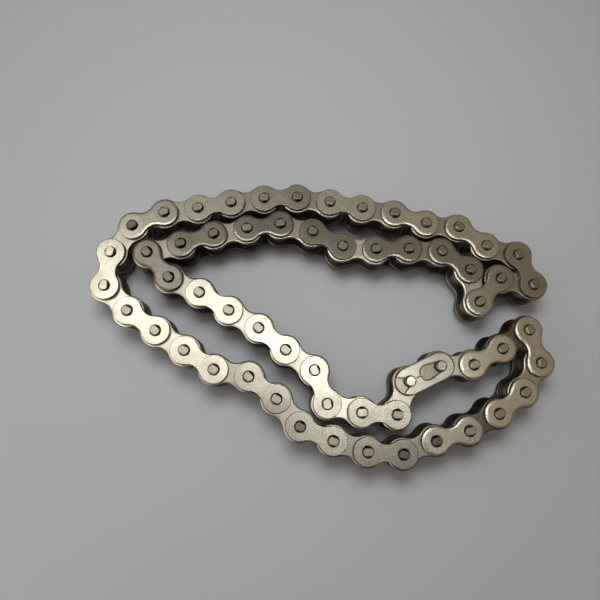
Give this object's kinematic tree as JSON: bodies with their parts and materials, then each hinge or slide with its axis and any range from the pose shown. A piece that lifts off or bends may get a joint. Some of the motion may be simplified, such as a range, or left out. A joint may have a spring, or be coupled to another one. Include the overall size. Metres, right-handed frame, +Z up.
{
  "type": "roller chain",
  "caption": "Endless loop of plated roller chain lying on its side in a loose heap, folded in on itself, its ends joined by a spring-clip connecting link.",
  "frame": {"origin": "middle of the heap's footprint, on the floor that the pins' lower ends rest on", "axes": "+Z up, along the pins; +X along the heap's length, to the right in the picture; +Y across the heap, away from the picture's near side"},
  "size_m": [0.1718, 0.1068, 0.0178],
  "materials": {
    "plated_steel_outer": "satin nickel plate",
    "plated_steel_inner": "satin nickel plate",
    "plated_steel_connecting": "satin nickel plate",
    "clip_steel": "bright spring steel"
  },
  "bodies": {
    "heap": {"outer_link_01": "plated_steel_outer", "outer_link_02": "plated_steel_outer", "outer_link_03": "plated_steel_outer", "outer_link_04": "plated_steel_outer", "outer_link_05": "plated_steel_outer", "outer_link_06": "plated_steel_outer", "outer_link_07": "plated_steel_outer", "outer_link_08": "plated_steel_outer", "outer_link_09": "plated_steel_outer", "outer_link_10": "plated_steel_outer", "outer_link_11": "plated_steel_outer", "outer_link_12": "plated_steel_outer", "outer_link_13": "plated_steel_outer", "outer_link_14": "plated_steel_outer", "outer_link_15": "plated_steel_outer", "outer_link_16": "plated_steel_outer", "outer_link_17": "plated_steel_outer", "outer_link_18": "plated_steel_outer", "outer_link_19": "plated_steel_outer", "outer_link_24": "plated_steel_outer", "outer_link_25": "plated_steel_outer", "outer_link_26": "plated_steel_outer", "outer_link_27": "plated_steel_outer", "outer_link_28": "plated_steel_outer", "outer_link_29": "plated_steel_outer", "inner_link_01": "plated_steel_inner", "inner_link_02": "plated_steel_inner", "inner_link_03": "plated_steel_inner", "inner_link_04": "plated_steel_inner", "inner_link_05": "plated_steel_inner", "inner_link_06": "plated_steel_inner", "inner_link_07": "plated_steel_inner", "inner_link_08": "plated_steel_inner", "inner_link_09": "plated_steel_inner", "inner_link_10": "plated_steel_inner", "inner_link_11": "plated_steel_inner", "inner_link_12": "plated_steel_inner", "inner_link_13": "plated_steel_inner", "inner_link_14": "plated_steel_inner", "inner_link_15": "plated_steel_inner", "inner_link_16": "plated_steel_inner", "inner_link_17": "plated_steel_inner", "inner_link_18": "plated_steel_inner", "inner_link_19": "plated_steel_inner", "inner_link_20": "plated_steel_inner", "inner_link_24": "plated_steel_inner", "inner_link_25": "plated_steel_inner", "inner_link_26": "plated_steel_inner", "inner_link_27": "plated_steel_inner", "inner_link_28": "plated_steel_inner", "inner_link_29": "plated_steel_inner", "connecting_link": "plated_steel_connecting", "cover_plate": "plated_steel_connecting", "spring_clip": "clip_steel"},
    "swing_link_near": {"outer_link_21": "plated_steel_outer"},
    "right_fold": {"inner_link_21": "plated_steel_inner", "outer_link_22": "plated_steel_outer", "inner_link_22": "plated_steel_inner", "outer_link_23": "plated_steel_outer"},
    "swing_link_far": {"inner_link_23": "plated_steel_inner"}
  },
  "joints": [
    {"name": "fold_swing", "type": "hinge", "parent": "heap", "child": "swing_link_near", "pos_m": [0.05493, -0.01638, 0], "axis": [0, 0, 1], "range_deg": [-30, 30]},
    {"name": "fold_near_pivot", "type": "hinge", "parent": "swing_link_near", "child": "right_fold", "pos_m": [0.06614, -0.01042, 0], "axis": [0, 0, 1], "range_deg": [-30, 30]},
    {"name": "fold_far_pivot", "type": "hinge", "parent": "right_fold", "child": "swing_link_far", "pos_m": [0.06301, -0.03388, 0], "axis": [0, 0, 1], "range_deg": [-30, 30]}
  ],
  "couplings": [
    {"joint": "fold_near_pivot", "follows": "fold_swing", "ratio": -1},
    {"joint": "fold_far_pivot", "follows": "fold_swing", "ratio": 1}
  ]
}
